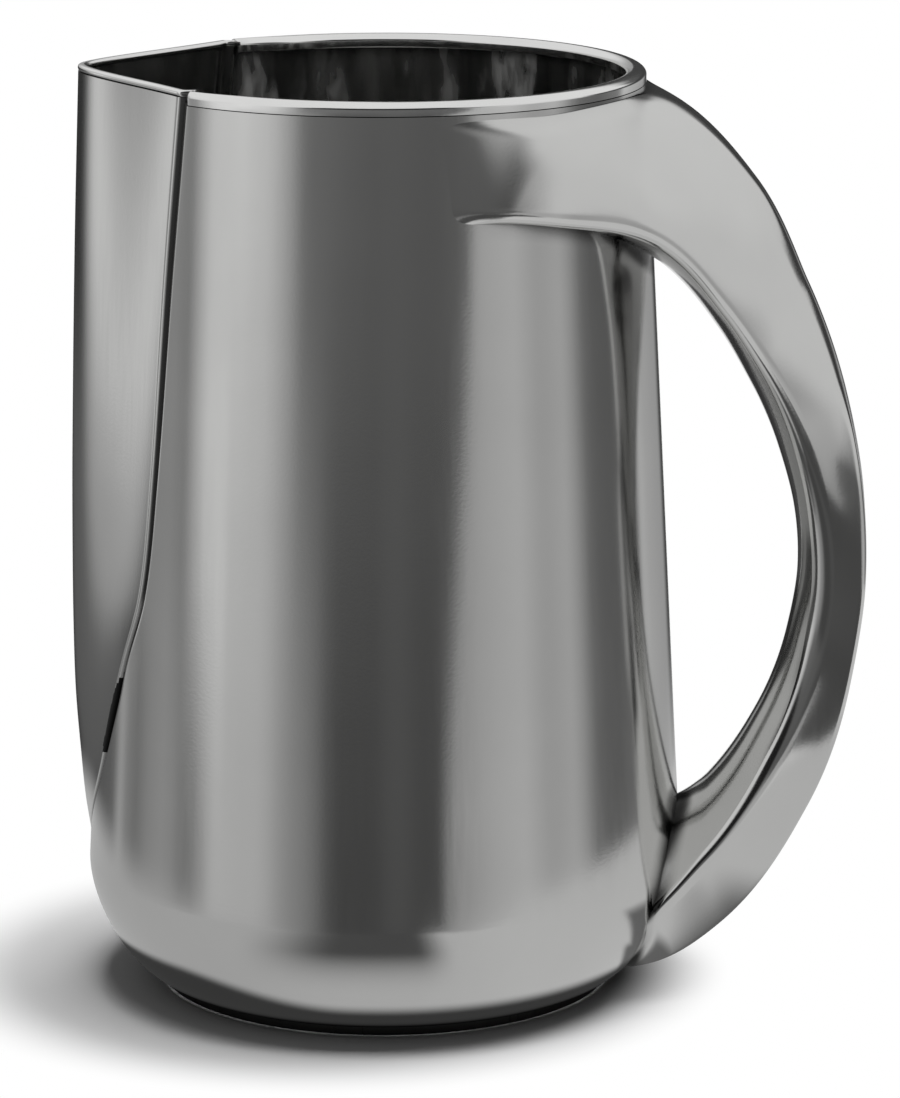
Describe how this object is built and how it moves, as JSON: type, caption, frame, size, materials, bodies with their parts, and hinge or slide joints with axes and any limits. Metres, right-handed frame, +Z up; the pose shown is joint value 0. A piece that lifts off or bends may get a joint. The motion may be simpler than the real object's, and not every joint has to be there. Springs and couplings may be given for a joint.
{
  "type": "water pitcher",
  "caption": "Tapered silver pitcher with a rounded lower corner, a pinched full-height pouring spout and a hollow crescent handle running from rim to base.",
  "frame": {"origin": "middle of the overall footprint, on the table plane that the foot ring stands on", "axes": "+Z up; +X towards the handle and -X towards the spout; +Y to the right of a person who holds the handle and looks along the spout"},
  "size_m": [0.1756, 0.1318, 0.2035],
  "materials": {
    "satin_silver": "sterling silver, satin polished",
    "bright_wire": "sterling silver wire, bright polished",
    "base_silver": "sterling silver, plain matt underside"
  },
  "bodies": {
    "root": {"body_wall": "satin_silver", "base_plate": "base_silver", "foot_ring": "base_silver", "rim_wire": "bright_wire", "spout_shell": "satin_silver", "spout_lip": "bright_wire", "handle_left_flank": "satin_silver", "handle_right_flank": "satin_silver", "handle_outer_band": "satin_silver", "handle_inner_band": "satin_silver"}
  },
  "joints": []
}
